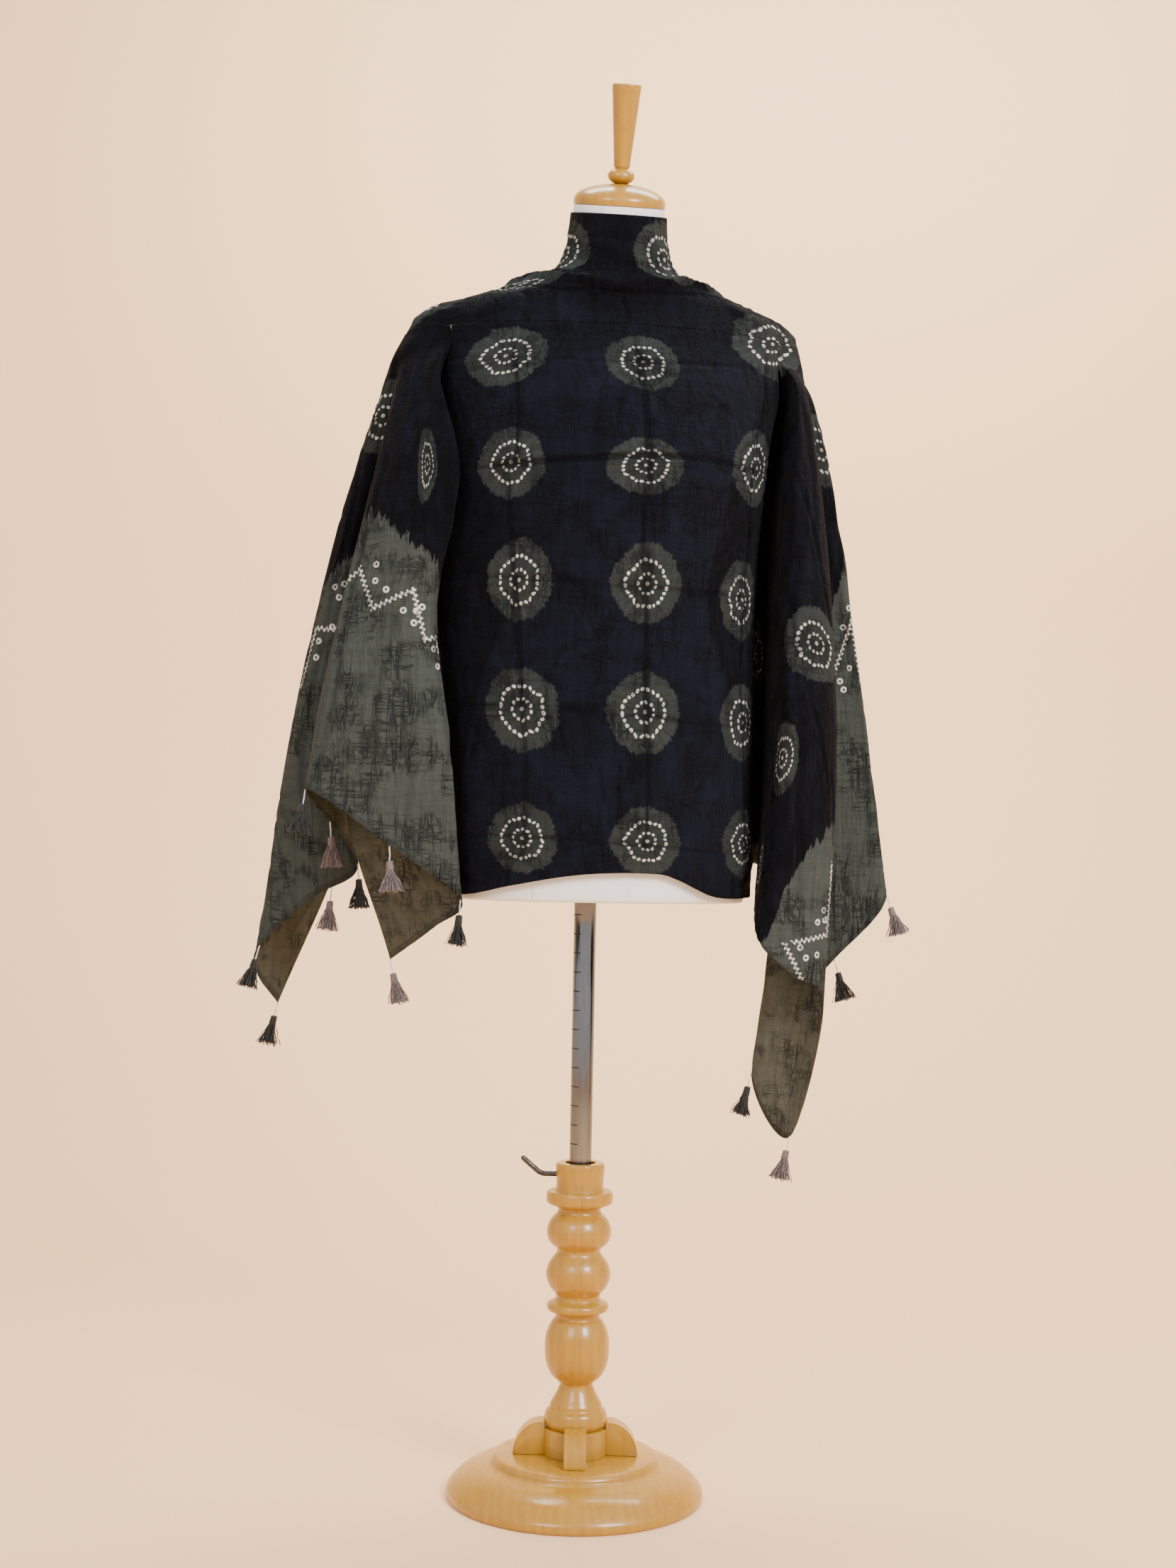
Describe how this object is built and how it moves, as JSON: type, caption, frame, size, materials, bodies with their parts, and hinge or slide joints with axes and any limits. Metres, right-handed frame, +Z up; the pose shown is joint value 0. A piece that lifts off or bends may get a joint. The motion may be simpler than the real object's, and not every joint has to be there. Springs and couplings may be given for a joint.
{
  "type": "dupatta stole on a dress form stand",
  "caption": "Tie-dyed cotton dupatta stole draped round the neck and shoulders of a limbless dress form, tasselled ends hanging at both sides, on a turned wooden pedestal with a sliding pole.",
  "frame": {"origin": "centre of the pedestal base's underside, on the floor", "axes": "+Z up, -Y the front, +X the viewer's right"},
  "size_m": [0.7275, 0.2905, 1.5713],
  "materials": {
    "wood": "glossy varnish",
    "chrome": "polished, lightly scribed",
    "lever_steel": "dull plated",
    "form_cotton": "matt plain weave",
    "stole_cotton": "fine crinkled tie-dyed cotton",
    "tassel_dark": "twisted thread",
    "tassel_mauve": "twisted thread"
  },
  "bodies": {
    "pedestal": {"base_disc": "wood", "base_wing_front": "wood", "base_wing_right": "wood", "base_wing_back": "wood", "base_wing_left": "wood", "foot_block": "wood", "baluster": "wood"},
    "mast": {"pole": "chrome"},
    "form": {"form": "form_cotton", "neck_cap": "wood", "finial": "wood", "stole_neck": "stole_cotton", "stole_front": "stole_cotton", "stole_left": "stole_cotton", "stole_right": "stole_cotton", "tassel_left_1": "tassel_dark", "tassel_left_2": "tassel_dark", "tassel_left_3": "tassel_mauve", "tassel_left_4": "tassel_dark", "tassel_left_5": "tassel_mauve", "tassel_left_6": "tassel_dark", "tassel_left_7": "tassel_mauve", "tassel_left_8": "tassel_dark", "tassel_left_9": "tassel_mauve", "tassel_right_1": "tassel_mauve", "tassel_right_2": "tassel_dark", "tassel_right_3": "tassel_mauve", "tassel_right_4": "tassel_dark", "tassel_right_5": "tassel_mauve", "tassel_right_6": "tassel_dark", "tassel_right_7": "tassel_mauve", "tassel_right_8": "tassel_dark", "tassel_right_9": "tassel_mauve"},
    "lever": {"clamp_lever": "lever_steel"}
  },
  "joints": [
    {"name": "form_height", "type": "slide", "parent": "pedestal", "child": "mast", "axis": [0, 0, 1], "range_m": [-0.08, 0.08]},
    {"name": "form_turn", "type": "hinge", "parent": "mast", "child": "form", "pos_m": [0, 0, 0.671], "axis": [0, 0, 1], "continuous": true},
    {"name": "clamp_turn", "type": "hinge", "parent": "pedestal", "child": "lever", "pos_m": [-0.0446, 0, 0.362], "axis": [1, 0, 0], "range_deg": [-90, 90]}
  ]
}
